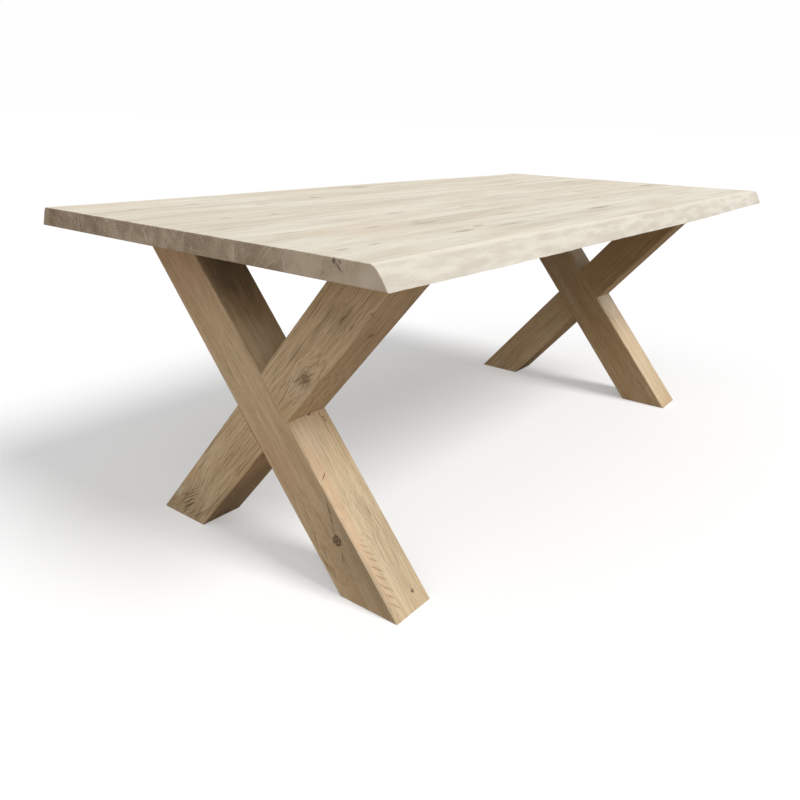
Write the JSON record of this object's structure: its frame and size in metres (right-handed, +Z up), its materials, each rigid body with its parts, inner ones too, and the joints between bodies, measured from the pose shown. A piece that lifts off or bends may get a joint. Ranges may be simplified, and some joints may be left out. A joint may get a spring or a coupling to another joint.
{
  "type": "sawbuck table",
  "caption": "Long dining table with a planked solid wood top, natural waney long edges and a crossed-beam frame under each end, each pair of beams half-lapped flush.",
  "frame": {"origin": "on the floor, under the middle of the top's overall outline", "axes": "+X along the table from the left end to the right end, +Y from the front edge to the back edge, +Z up"},
  "size_m": [2.1, 1.0365, 0.78],
  "materials": {
    "top_oak": "pale whitened oak, brushed and matt oiled",
    "leg_oak": "natural oak, planed and matt oiled",
    "bar_steel": "black powder coat, fine texture",
    "fastener_steel": "zinc plated, satin"
  },
  "bodies": {
    "root": {"live_edge_board_front": "top_oak", "top_board_2": "top_oak", "top_board_3": "top_oak", "top_board_4": "top_oak", "top_board_5": "top_oak", "top_board_6": "top_oak", "live_edge_board_back": "top_oak", "leg_left_front_foot": "leg_oak", "leg_left_back_foot": "leg_oak", "leg_right_front_foot": "leg_oak", "leg_right_back_foot": "leg_oak", "mounting_bar_left": "bar_steel", "mounting_bar_right": "bar_steel", "frame_screws": "fastener_steel", "top_screws": "fastener_steel"}
  },
  "joints": []
}
